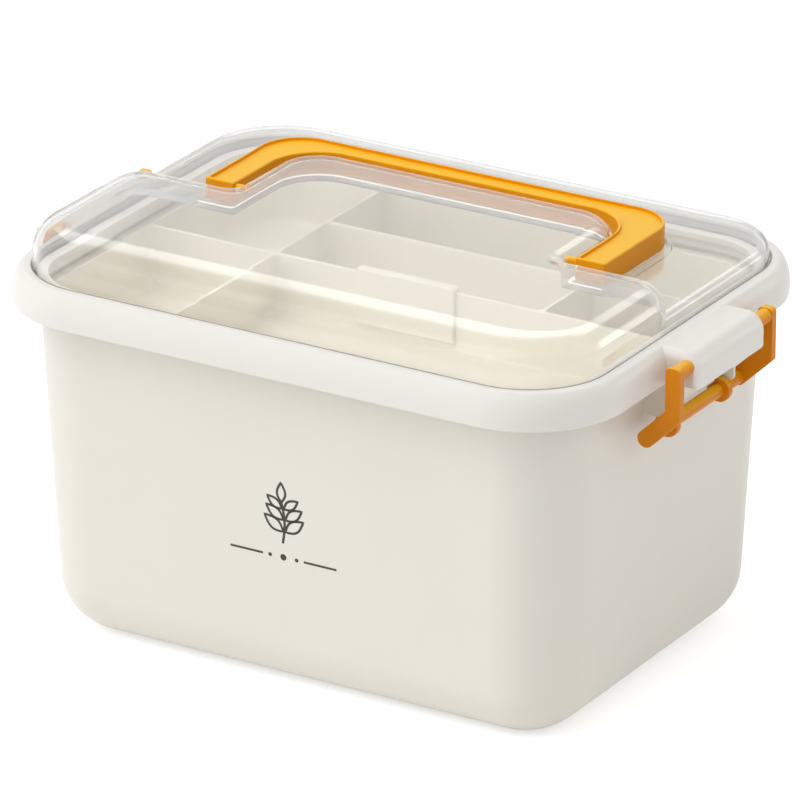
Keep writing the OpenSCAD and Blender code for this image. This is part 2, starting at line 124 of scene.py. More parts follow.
def piece(name, parts, materials, body, replaces=None, bevel=0.0, sharp=35.0):
    """One mesh object from parts, each (points in mm, faces) and, if it isn't the first, the number of its material.
    Points that coincide are merged, flat faces weigh most in the shading normals, and edges that turn by more than
    sharp degrees stay crisp."""
    points, faces, numbers, base = [], [], [], 0
    for co, fs, *number in parts:
        co = np.asarray(co, float).reshape(-1, 3)
        points.append(co)
        faces += [[base + int(i) for i in f] for f in fs]
        numbers += (number or [0]) * len(fs)
        base += len(co)
    mesh = bpy.data.meshes.new(name)
    mesh.from_pydata((np.vstack(points) * MM).tolist(), [], faces)
    mesh.polygons.foreach_set("material_index", numbers)
    bm = bmesh.new()
    bm.from_mesh(mesh)
    bmesh.ops.remove_doubles(bm, verts=bm.verts, dist=MERGE)
    bmesh.ops.dissolve_degenerate(bm, edges=bm.edges, dist=MERGE / 2)
    bm.to_mesh(mesh)
    bm.free()
    mesh.shade_smooth()
    mesh.set_sharp_from_angle(angle=np.radians(sharp))
    for material in materials if isinstance(materials, list) else [materials]:
        mesh.materials.append(material)
    ob = bpy.data.objects.new(name, mesh)
    bpy.context.scene.collection.objects.link(ob)
    if bevel:
        edge = ob.modifiers.new("edge", "BEVEL")
        edge.width, edge.segments = bevel * MM, BEVEL_STEPS
        edge.limit_method, edge.angle_limit = "ANGLE", np.radians(sharp)
        edge.harden_normals = False
    normals = ob.modifiers.new("normals", "WEIGHTED_NORMAL")
    normals.keep_sharp, normals.weight = True, FLAT_WEIGHT
    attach(ob, body)
    if replaces:
        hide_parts(replaces)
    return ob


def srgb(r, g, b):
    """Linear colour of an 8-bit display colour: ((c + 0.055) / 1.055) ** 2.4 above the short straight foot."""
    c = np.array([r, g, b]) / 255
    return (*np.where(c > 0.04045, ((c + 0.055) / 1.055) ** 2.4, c / 12.92).tolist(), 1.0)


def mould_group():
    """Node group for moulded plastic: two scales of noise in object space. Shade is a slow mottling of the colour,
    Rough a slow variation of the gloss, Grain the height of the fine sparked mould texture, and Up is 1 on level
    faces and falls to 0 on upright ones; Up is the mask of the painted shade on upright faces."""
    group = bpy.data.node_groups.new("moulded_surface", "ShaderNodeTree")
    io = group.interface
    for label, value in (("Mottle scale", 18.0), ("Grain scale", 900.0), ("Mottle", 0.03), ("Gloss low", 0.35),
                         ("Gloss high", 0.45)):
        io.new_socket(label, in_out="INPUT", socket_type="NodeSocketFloat").default_value = value
    for label in ("Shade", "Rough", "Grain", "Up"):
        io.new_socket(label, in_out="OUTPUT", socket_type="NodeSocketFloat")
    n, link = group.nodes, group.links.new
    given, out = n.new("NodeGroupInput"), n.new("NodeGroupOutput")
    co = n.new("ShaderNodeTexCoord")

    def noise(scale, detail):
        node = n.new("ShaderNodeTexNoise")
        node.inputs["Detail"].default_value = detail
        link(co.outputs["Object"], node.inputs["Vector"])
        link(given.outputs[scale], node.inputs["Scale"])
        return node.outputs["Fac"]

    def spread(value, part):
        node = n.new("ShaderNodeMapRange")
        node.inputs["From Min"].default_value, node.inputs["From Max"].default_value = part
        link(value, node.inputs["Value"])
        return node

    slow, fine = noise("Mottle scale", 4.0), noise("Grain scale", 2.0)
    darkest = n.new("ShaderNodeMath")
    darkest.operation = "SUBTRACT"
    darkest.inputs[0].default_value = 1.0
    link(given.outputs["Mottle"], darkest.inputs[1])
    shade, gloss = spread(slow, NOISE_RANGE), spread(slow, NOISE_RANGE)
    link(darkest.outputs[0], shade.inputs["To Min"])
    link(given.outputs["Gloss low"], gloss.inputs["To Min"])
    link(given.outputs["Gloss high"], gloss.inputs["To Max"])
    split = n.new("ShaderNodeSeparateXYZ")
    link(co.outputs["Normal"], split.inputs[0])
    up = spread(split.outputs["Z"], PAINTED_SHADE_UP_RANGE)
    link(shade.outputs["Result"], out.inputs["Shade"])
    link(gloss.outputs["Result"], out.inputs["Rough"])
    link(fine, out.inputs["Grain"])
    link(up.outputs["Result"], out.inputs["Up"])
    return group


MOULDED = mould_group()


def plastic(name, colour, gloss, mottle=0.02, upright=None, **sockets):
    """A moulded plastic: colour times the group's Shade, roughness between the two gloss values, and a bump of the
    group's Grain. Where upright is given, the colour deepens to it on the upright faces: painted shade, which makes
    the sides darker and more orange than the level tops. The other sockets of the shader are set as given."""
    material = bpy.data.materials.new(name)
    material.use_nodes = True
    n, link = material.node_tree.nodes, material.node_tree.links.new
    shader = n["Principled BSDF"]
    surface = n.new("ShaderNodeGroup")
    surface.node_tree = MOULDED
    surface.inputs["Mottle"].default_value = mottle
    surface.inputs["Gloss low"].default_value, surface.inputs["Gloss high"].default_value = gloss
    tint = n.new("ShaderNodeMix")
    tint.data_type, tint.blend_type = "RGBA", "MULTIPLY"
    tint.inputs[0].default_value = 1.0
    tint.inputs["A"].default_value = colour
    # painted shade: the upright colour on upright faces and the plain colour on level ones, mixed by Up
    if upright:
        depth = n.new("ShaderNodeMix")
        depth.data_type = "RGBA"
        depth.inputs["A"].default_value, depth.inputs["B"].default_value = upright, colour
        link(surface.outputs["Up"], depth.inputs[0])
        link(depth.outputs["Result"], tint.inputs["A"])
    link(surface.outputs["Shade"], tint.inputs["B"])
    link(tint.outputs["Result"], shader.inputs["Base Color"])
    link(surface.outputs["Rough"], shader.inputs["Roughness"])
    bump = n.new("ShaderNodeBump")
    bump.inputs["Strength"].default_value, bump.inputs["Distance"].default_value = GRAIN_BUMP, GRAIN_DEPTH
    link(surface.outputs["Grain"], bump.inputs["Height"])
    link(bump.outputs["Normal"], shader.inputs["Normal"])
    for label, value in sockets.items():
        shader.inputs[label.replace("_", " ")].default_value = value
    return material


tub_plastic = plastic("tub_plastic", srgb(233, 229, 219), (0.36, 0.44))
tub_outline = soften([
    (CAP_O, 0, 0), (0, 0, FOOT_R), (0, WALL_H, 0.8), (RIM_OUT, WALL_H, 0.8), (RIM_OUT, TUB_H, 0.9),
    (RIM_OUT - TUB_T, TUB_H, 0.9), (RIM_OUT - TUB_T, LEDGE_Z, 0.6), (-TUB_T, LEDGE_Z, 0.8),
    (-TUB_T, TUB_T, FOOT_R - TUB_T), (CAP_O, TUB_T, 0)], n=10)
piece("tub_shell", [capped(tub_lines(tub_outline))], tub_plastic, "base", "tub")

# The catches: two ribs and a middle block, moulded on each end of the tub just
# under the collar's bump. The latch's rod hooks under the ribs.
SKIRT_GAP, SKIRT_T, SKIRT_DROP, REST = 6.2, 2.5, 10.0, 0.2
BUMP_OUT, BUMP_DROP = 14.2, 0.6
PIVOT_IN, PIVOT_UP, ROD_IN, ROD_DOWN, ROD_R = 5.1, 9.7, 12.5, 30.2, 3.0
CATCH_GAP, TOP_GAP = 0.7, 0.1  # clearance from the catch down to the rod, and beyond REST up to the bump
OUT_O = RIM_OUT + SKIRT_GAP + SKIRT_T
SKIRT_Z = TUB_H - SKIRT_DROP
BUMP_X, BUMP_Z = TUB_L / 2 + OUT_O + BUMP_OUT, SKIRT_Z - BUMP_DROP
PIVOT_X, PIVOT_Z = BUMP_X - PIVOT_IN, BUMP_Z + PIVOT_UP
ROD_X, ROD_Z = PIVOT_X - ROD_IN, PIVOT_Z - ROD_DOWN
CATCH_Z, CATCH_TOP = ROD_Z + ROD_R + CATCH_GAP, BUMP_Z - REST - TOP_GAP
CATCH_MID, CATCH_MID_OUT, RIB_T, RIB_GAP, RIB_OVER, RIB_R = 19.4, 7.2, 1.6, 48.6, 5.3, 2.5
ROOT_X = TUB_L / 2 - 0.85 * TUB_T  # the catches start inside the wall, short of its inner face
SIDES = (-1, 1)


def prism(outline, y0, y1):
    """A slice y0..y1 of constant section: outline is (x, z) points, anticlockwise seen from the front."""
    m = len(outline)
    front = np.column_stack([outline[:, 0], np.full(m, y0), outline[:, 1]])
    back = front + [0, y1 - y0, 0]
    i = np.arange(m)
    j = (i + 1) % m
    sides = np.stack([i, i + m, j + m, j], 1).tolist()
    return np.vstack([front, back]), sides + [i.tolist(), (i[::-1] + m).tolist()]


def prism_pair(outline, gap, t):
    """Two slices t thick of one section, one on each side of the plane y = 0, with a gap between them."""
    return [prism(outline, s * (gap + t) / 2 - t / 2, s * (gap + t) / 2 + t / 2) for s in SIDES]


def mirrored(part):
    """The same part on the other side of the plane x = 0, with its faces turned to point outwards again."""
    co, fs = part
    return np.asarray(co) * [-1, 1, 1], [list(f)[::-1] for f in fs]


rib_x, mid_x = ROD_X + RIB_OVER, TUB_L / 2 + CATCH_MID_OUT
rib = soften([(ROOT_X, CATCH_Z, 0.2), (rib_x, CATCH_Z, RIB_R), (rib_x, CATCH_TOP, 0.3), (ROOT_X, CATCH_TOP, 0.2)],
             True, 8)
block = soften([(ROOT_X, CATCH_Z, 0.2), (mid_x, CATCH_Z, 0.8), (mid_x, CATCH_TOP, 0.4), (ROOT_X, CATCH_TOP, 0.2)],
               True, 4)
catch = prism_pair(rib, RIB_GAP, RIB_T) + [prism(block, -CATCH_MID, CATCH_MID)]
for side, parts in (("right", catch), ("left", [mirrored(c) for c in catch])):
    piece("tub_catch_" + side, parts, tub_plastic, "base", bevel=0.3)

# The print: a sprig over a dotted rule in dark ink, screen printed on the middle
# of the tub's front face.
INK_H, INK_X, INK_Z = 0.05, -1.0, 79.0
STEM_FOOT, STEM_L, STEM_BOW, STEM_W = -9.0, 19.0, 1.2, 1.2
LEAF_W, LEAF_TILT, LEAF_OFF, TOP_LEAF = 1.1, 0.95, 0.6, 9.0
LEAVES = ((-3.5, 11.0), (2.0, 10.0), (7.0, 8.5))  # height on the stem and length of each pair
RULE_Z, RULE_IN, RULE_OUT, RULE_W = -15.5, 10.0, 26.0, 1.0
DOTS = ((-6.5, 0.9), (0, 1.5), (6.5, 0.9))  # place along the rule and radius


def ink_line(path, width, closed=False):
    """A line of ink along a path of (across, up) points on the drafted front face: half the width to each side, square
    to the path, and INK_H out from the face and into it along the face's normal."""
    p = np.asarray(path, float)
    t = np.roll(p, -1, 0) - np.roll(p, 1, 0) if closed else np.gradient(p, axis=0)
    left = np.column_stack([-t[:, 1], t[:, 0]]) / np.linalg.norm(t, axis=1, keepdims=True) * width / 2
    q = np.stack([p + left, p - left, p - left, p + left], 1)
    rise = DRAFT_Y / WALL_H
    z = INK_Z + q[..., 1]
    face_y = -TUB_W / 2 + DRAFT_Y - rise * z
    out = np.array([INK_H, INK_H, -INK_H, -INK_H]) / np.hypot(1, rise)
    co = np.stack([INK_X + q[..., 0], face_y - out, z - rise * out], 2)
    m = len(p)
    caps = [] if closed else [[3, 2, 1, 0], [4 * m - 4, 4 * m - 3, 4 * m - 2, 4 * m - 1]]
    return co, grid_faces(m, 4, wrap_rows=closed).tolist() + caps


def leaf(root_x, root_z, angle, length):
    """A leaf's outline: out along its middle line with half width 0.27 length sin(pi s) (1 - 0.35 s) on one side, and
    back on the other, the line turned by angle from upright."""
    s = np.linspace(0, 1, 15)
    w = 0.27 * length * np.sin(np.pi * s) * (1 - 0.35 * s)
    line = np.concatenate([np.column_stack([w, s * length]), np.column_stack([-w, s * length])[-2:0:-1]])
    c, k = np.cos(angle), np.sin(angle)
    return np.column_stack([root_x + line[:, 0] * c + line[:, 1] * k, root_z - line[:, 0] * k + line[:, 1] * c])


def bow(share):
    """How far the stem stands to one side at a share of its length: half a sine wave."""
    return STEM_BOW * np.sin(np.pi * share)


share = np.linspace(0, 1, 24)
ink = [ink_line(np.column_stack([bow(share), STEM_FOOT + STEM_L * share]), STEM_W),
       ink_line(leaf(0, STEM_FOOT + STEM_L, 0, TOP_LEAF), LEAF_W, True)]
for height, length in LEAVES:
    stem_x = bow((height - STEM_FOOT) / STEM_L)
    ink += [ink_line(leaf(stem_x + s * LEAF_OFF, height, s * LEAF_TILT, length), LEAF_W, True) for s in SIDES]
angle = np.linspace(0, 2 * np.pi, 25)[:-1]
for dot_x, r in DOTS:
    ink.append(ink_line(np.column_stack([dot_x + r / 2 * np.cos(angle), RULE_Z + r / 2 * np.sin(angle)]), r, True))
rule = np.linspace(RULE_IN, RULE_OUT, 12)
ink += [ink_line(np.column_stack([s * rule, RULE_Z + 0 * rule]), RULE_W) for s in SIDES]
dark_ink = plastic("dark_ink", srgb(62, 58, 50), (0.45, 0.55), mottle=0.08)
piece("front_print", ink, dark_ink, "base")

# The tray: a lift-out moulding in a like white plastic. Its flange rests on the
# tub's ledge, and its dividers leave six compartments and carry a finger grip.
TRAY_H, TRAY_T, TRAY_FLANGE, TRAY_DRAFT, TRAY_FOOT_R, TRAY_GAP = 27.0, 1.6, 1.6, 2.5, 6.0, 0.7
DIV_T, DIV_X, DIV_MID, DIV_BACK = 1.8, 65.5, 4.4, 47.0
CELL_R, CELL_LIP_R, CELL_FOOT_R, CELL_TOE_R = 3.0, 0.6, 1.5, TRAY_FOOT_R - TRAY_T
CELL_LEAST_R = 0.4  # smallest corner radius in plan of a compartment
GRIP_L, GRIP_T, GRIP_UP, GRIP_DOWN = 49.0, 5.0, 2.2, 22.0
DROP_GAP = 0.4  # clearance of what drops into the rim: the tray's flange and the lid's inner lip
LIP_O = RIM_OUT - TUB_T - DROP_GAP
FLANGE_Z = LEDGE_Z + REST
TRAY_TOP = FLANGE_Z + TRAY_FLANGE
TRAY_Z = TRAY_TOP - TRAY_H
TRAY_O = -TUB_T - TRAY_GAP
FLOOR_Z = TRAY_Z + TRAY_T
FAR_X, FAR_Y = TUB_L, TUB_W  # a compartment that reaches here ends at the tray's own wall


def plan_lines(o, z, n=20):
    """Level lines at distances o outwards from the tub's upright wall line: half sizes and corner radius grow by o."""
    o, z = np.asarray(o, float), np.asarray(z, float)
    hx, hy, r = TUB_L / 2 + o, TUB_W / 2 + o, np.maximum(TUB_R + o, LEAST_R)
    return level_lines(-hx, hx, -hy, hy, r[:, None], r[:, None], z, n)


def tray_wall(o, z):
    """Distance of the tray's wall from the tub's wall line: it leans in with the draft below the flange."""
    return TRAY_O - TRAY_DRAFT * np.clip(FLANGE_Z - z, 0, None) / TRAY_H + o


def cell_skin(x0, x1, y0, y1):
    """One compartment from its mouth down to its floor. A side at a divider is upright, with a small fillet at its
    foot, and one at the tray's wall leans with the wall and has a large one; all flare by a quarter circle at the
    mouth."""
    lip, toe = np.linspace(0, np.pi / 2, 5)[::-1], np.linspace(0, np.pi / 2, 8)
    z = np.concatenate([TRAY_TOP - CELL_LIP_R * (1 - np.sin(lip)), FLOOR_Z + CELL_TOE_R * (1 - np.sin(toe))])
    flare = np.concatenate([CELL_LIP_R * (1 - np.cos(lip)), 0 * toe])
    toe_in = np.concatenate([0 * lip, CELL_TOE_R * (1 - np.cos(toe))])
    below = np.clip(1 - (1 - (z - FLOOR_Z) / CELL_FOOT_R) ** 2, 0, 1)
    foot_in = np.where(z < FLOOR_Z + CELL_FOOT_R, CELL_FOOT_R * (1 - np.sqrt(below)), 0)
    inside = tray_wall(-TRAY_T, z)
    hx, hy = (size / 2 + (inside - toe_in + flare) for size in (TUB_L, TUB_W))
    step = flare - foot_in
    sides = [np.where(abs(x0) == FAR_X, -hx, x0 - step), np.where(abs(x1) == FAR_X, hx, x1 + step),
             np.where(abs(y0) == FAR_Y, -hy, y0 - step), np.where(abs(y1) == FAR_Y, hy, y1 + step)]
    rx, ry = [], []
    for cx, cy in ((x1, y0), (x1, y1), (x0, y1), (x0, y0)):
        full = TUB_R + inside if abs(cx) == FAR_X and abs(cy) == FAR_Y else CELL_R
        rx.append(np.maximum(full + (flare - toe_in if abs(cx) == FAR_X else step), CELL_LEAST_R))
        ry.append(np.maximum(full + (flare - toe_in if abs(cy) == FAR_Y else step), CELL_LEAST_R))
    return level_lines(*sides, np.stack(rx, 1), np.stack(ry, 1), z, 12)


def plate_with_holes(outer, holes):
    """The level plate between one closed outline and the outlines of its holes, cut into triangles whose sides
    keep to the outlines (a constrained Delaunay cut)."""
    loops = [outer] + holes
    xy = np.vstack(loops)[:, :2]
    starts = np.cumsum([0] + [len(l) for l in loops])
    edges = [(int(s + k), int(s + (k + 1) % len(l))) for s, l in zip(starts, loops) for k in range(len(l))]
    v, _, f, *_ = delaunay_2d_cdt([tuple(p) for p in xy], edges, [], 0, NEAR)
    v = np.array([tuple(p) for p in v])
    f = np.array(f)
    middles = v[f].mean(1)

    def within(c, loop):
        """Whether each point is inside the loop: a ray to the right of it crosses the loop an odd number of times."""
        a, b = loop[:, :2], np.roll(loop[:, :2], -1, 0)
        spans = (a[:, 1] > c[:, 1:2]) != (b[:, 1] > c[:, 1:2])
        x = a[:, 0] + (c[:, 1:2] - a[:, 1]) * (b - a)[:, 0] / np.where(spans, (b - a)[:, 1], 1)
        return (spans & (c[:, :1] < x)).sum(1) % 2 == 1

    f = f[within(middles, outer) & ~np.any([within(middles, h) for h in holes], axis=0)]
    a, b, d = (v[f[:, k]] for k in range(3))
    turn = (b - a)[:, 0] * (d - a)[:, 1] - (b - a)[:, 1] * (d - a)[:, 0]
    f = np.where((turn > 0)[:, None], f, f[:, ::-1])
    return np.column_stack([v, np.full(len(v), outer[0, 2])]), f.tolist()


under = soften([(CAP_O, TRAY_Z, 0), (0, TRAY_Z, TRAY_FOOT_R), (0, FLANGE_Z - 1, 0)], n=8)
flange_o = LIP_O - TRAY_O
over = soften([(0, FLANGE_Z - 1, 0), (0, FLANGE_Z, 0.5), (flange_o, FLANGE_Z, 0.4), (flange_o, TRAY_TOP, 0.5),
               (flange_o - 0.9, TRAY_TOP, 0)], n=4)
tray_outline = np.vstack([under[:-1], over])
tray_skin = plan_lines(tray_wall(tray_outline[:, 0], tray_outline[:, 1]), tray_outline[:, 1])
half_t = DIV_T / 2
left_x, right_x, mid_y, back_y = ((v - half_t, v + half_t) for v in (-DIV_X, DIV_X, DIV_MID, DIV_BACK))
cells = [cell_skin(*sides) for sides in (
    (-FAR_X, left_x[0], -FAR_Y, mid_y[0]), (left_x[1], FAR_X, -FAR_Y, mid_y[0]),
    (-FAR_X, left_x[0], mid_y[1], FAR_Y), (left_x[1], right_x[0], mid_y[1], back_y[0]),
    (right_x[1], FAR_X, mid_y[1], back_y[0]), (left_x[1], FAR_X, back_y[1], FAR_Y))]
tray_parts = [capped(tray_skin, last=False)] + [capped(c, first=False) for c in cells]
tray_parts.append(plate_with_holes(tray_skin[-1], [c[0] for c in cells]))
tray_plastic = plastic("tray_plastic", srgb(240, 235, 220), (0.38, 0.46))
piece("tray_body", tray_parts, tray_plastic, "tray", "tray")
grip_z0, grip_z1 = TRAY_TOP - GRIP_DOWN, TRAY_TOP + GRIP_UP
grip = soften([(-GRIP_L / 2, grip_z0, 1), (GRIP_L / 2, grip_z0, 1),
               (GRIP_L / 2, grip_z1, 2), (-GRIP_L / 2, grip_z1, 2)], True, 6)
piece("tray_grip", [prism(grip, DIV_MID - GRIP_T / 2, DIV_MID + GRIP_T / 2)], tray_plastic, "tray",
      bevel=0.8)

# The lid's collar: a frosted translucent ring that drops over the tub's rim. It
# carries the cover in a seat and a bump on each end, in which the latch turns.
ROOF_T, SEAT_D, SEAT_W, SHOULDER_W, SHOULDER_H, BAND_W, LIP_T, LIP_H = 2.8, 2.7, 7.0, 5.6, 10.9, 2.9, 1.7, 4.7
BUMP_L, BUMP_R, BUMP_LOW, BUMP_END_R, BUMP_ROOT = 59.0, 8.0, 0.5, 4.0, 2.0
END_ROUND, END_RISE = 0.6, 0.4  # how much less than the top the face and the underside draw in at a bump's ends
BEAD_R, BEAD_O, BEAD_DOWN = 0.35, 0.3, 0.1
RING_N = 28  # steps in each corner of the collar and the bead
SEAT_O = OUT_O - SHOULDER_W - BAND_W
HOLE_O = SEAT_O - SEAT_W
ROOF_Z = TUB_H + REST
SEAT_Z = ROOF_Z + ROOF_T
COLLAR_Z = SEAT_Z + SEAT_D
COLLAR_X = TUB_L / 2 + OUT_O
WIDE_Z = COLLAR_Z - SHOULDER_H


def ring(o, z):
    """A closed ring round the lid: its section's points at distances o from the tub's wall line and heights z."""
    lines = plan_lines(o, z, RING_N)
    return lines, grid_faces(*lines.shape[:2], wrap_rows=True)


frosted = plastic("frosted_collar", srgb(234, 230, 224), (0.34, 0.42), mottle=0.01)
angle = np.linspace(0, np.pi / 2, 14)
shoulder = np.column_stack([OUT_O - SHOULDER_W * (1 - np.cos(angle)), WIDE_Z + SHOULDER_H * np.sin(angle)])
tail = soften([
    (SEAT_O + BAND_W, COLLAR_Z, 0), (SEAT_O, COLLAR_Z, 0.35), (SEAT_O, SEAT_Z, 0.2), (HOLE_O, SEAT_Z, 0.4),
    (HOLE_O, ROOF_Z, 0.4), (LIP_O - LIP_T, ROOF_Z, 0.3), (LIP_O - LIP_T, ROOF_Z - LIP_H, 0.5),
    (LIP_O, ROOF_Z - LIP_H, 0.5), (LIP_O, ROOF_Z, 0.3), (OUT_O - SKIRT_T, ROOF_Z, 0.8),
    (OUT_O - SKIRT_T, SKIRT_Z, 0.7), (OUT_O - 0.2, SKIRT_Z, 0.8), (OUT_O, WIDE_Z, 0)])
section = np.vstack([shoulder, tail[1:-1]])
piece("collar", [ring(section[:, 0], section[:, 1])], frosted, "lid", "lid_rim")
top, root_z = COLLAR_Z - BUMP_LOW, SEAT_Z - BUMP_ROOT
inner, lower = COLLAR_X - SHOULDER_W, COLLAR_X - SKIRT_T / 2
angle = np.linspace(0, np.pi / 2, 8)
slices = []
for e in BUMP_END_R * (1 - np.sin(angle)):
    face_x, low_z = BUMP_X - END_ROUND * e, BUMP_Z + END_RISE * e
    slices.append(soften([(lower, low_z, 0.2), (face_x, low_z, 0.9), (face_x, top - e, BUMP_R - END_ROUND * e),
                          (inner, top - e, 0.2), (inner, root_z, 0.2), (lower, root_z, 0.2)], True, 10))
slices = np.array(slices + slices[::-1])
y = BUMP_L / 2 - BUMP_END_R * (1 - np.cos(angle))
y = np.broadcast_to(np.concatenate([-y, y[::-1]])[:, None], slices.shape[:2])
bump = capped(np.stack([slices[..., 0], y, slices[..., 1]], 2), flip=True)
for side, part in (("right", bump), ("left", mirrored(bump))):
    piece("collar_bump_" + side, [part], frosted, "lid", sharp=50)
angle = np.linspace(0, 2 * np.pi, 13)[:-1]
bead = ring(SEAT_O + BEAD_O + BEAD_R * np.cos(angle), COLLAR_Z - BEAD_DOWN + BEAD_R * np.sin(angle))
weld_grey = plastic("weld_grey", srgb(150, 147, 141), (0.4, 0.5))
piece("weld_bead", [bead], weld_grey, "lid")

# The cover: clear polished polystyrene, 2 mm thick, welded into the collar's
# seat. A raised bar runs along the front and a raised block behind it; the
# folded handle lies in a shallow recess round the block.
DOME_T, LOW_H, LOW_EDGE, LOW_IN, BAR_H, STEP_Y = 2.0, 7.6, 4.0, 0.4, 19.5, -3.6
BAR_END_W, BAR_FRONT_W, BAR_ROUND_H, EDGE_R, BAR_CORNER = 12.0, 19.0, 13.0, 9.0, 16.5
BLOCK_L, BLOCK_BACK, BLOCK_R, NOOK_R, FOOT_FILLET = 164.0, 52.5, 22.0, 2.0, 1.0
RECESS_D, RECESS_OVER, RECESS_LEAN = 1.0, 1.4, 0.7
LEG_W, BAR_W, HANDLE_RO = 14.4, 11.0, 19.0
HANDLE_SIDE, HANDLE_BACK, HANDLE_FRONT = 1.8, 1.9, 3.9
WELD_GAP = 0.1
DOME_X, DOME_Y, DOME_R = (v + SEAT_O - WELD_GAP for v in (TUB_L / 2, TUB_W / 2, TUB_R))
LOW_Z, BAR_Z = COLLAR_Z + LOW_H, COLLAR_Z + BAR_H
RECESS_Z = LOW_Z - RECESS_D
HAND_IN, HAND_Y0, HAND_Y1 = BLOCK_L / 2 + HANDLE_SIDE, STEP_Y + HANDLE_FRONT, BLOCK_BACK + HANDLE_BACK
HAND_OUT, HAND_Y2 = HAND_IN + LEG_W, HAND_Y1 + BAR_W
CORNER_N, BLOCK_N, NOOK_N = 20, 16, 7  # steps in a corner of the cover, of the block and at the block's root
EDGE_N, WALL_N = 17, 6  # level lines up the rounded top edge and up the other edges
COVER_LEAST_R = 1  # smallest corner radius in plan of the cover
CLEAR, HAZY, LIT = 0, 1, 2  # numbers of the cover's materials
LOW_INDEX = 1.06


def arc(cx, cy, rx, ry, degrees):
    """Part of an ellipse on each level: centre + (rx cos a, ry sin a) for each angle a; the centres and radii have one
    entry for each level."""
    a = np.radians(degrees)
    cx, cy, rx, ry = (np.asarray(v, float)[..., None] for v in (cx, cy, rx, ry))
    return np.stack(np.broadcast_arrays(cx + rx * np.cos(a), cy + ry * np.sin(a)), -1)


def point(x, y):
    """One plan point for each level."""
    return np.stack(np.broadcast_arrays(x, y), -1).astype(float)[:, None]


def both_sides(half):
    """A closed level line from its right half, which runs from the front middle to the back middle: the left half is
    its mirror image run backwards."""
    return np.concatenate([half, half[:, -2:0:-1] * [-1, 1]], 1)


def round_back(half):
    """An open level line from the right side round the back to the left, from its right half."""
    return np.concatenate([half, half[:, -2::-1] * [-1, 1]], 1)


def at_height(xy, z):
    """Plan points of several levels, each given its level's height."""
    return np.concatenate([xy, np.broadcast_to(z[:, None, None], (*xy.shape[:-1], 1))], -1)


def strip(points, number=CLEAR, flip=False):
    """A part made of a grid of open lines, with the number of its material."""
    return points, grid_faces(*points.shape[:2], wrap_cols=False, flip=flip), number


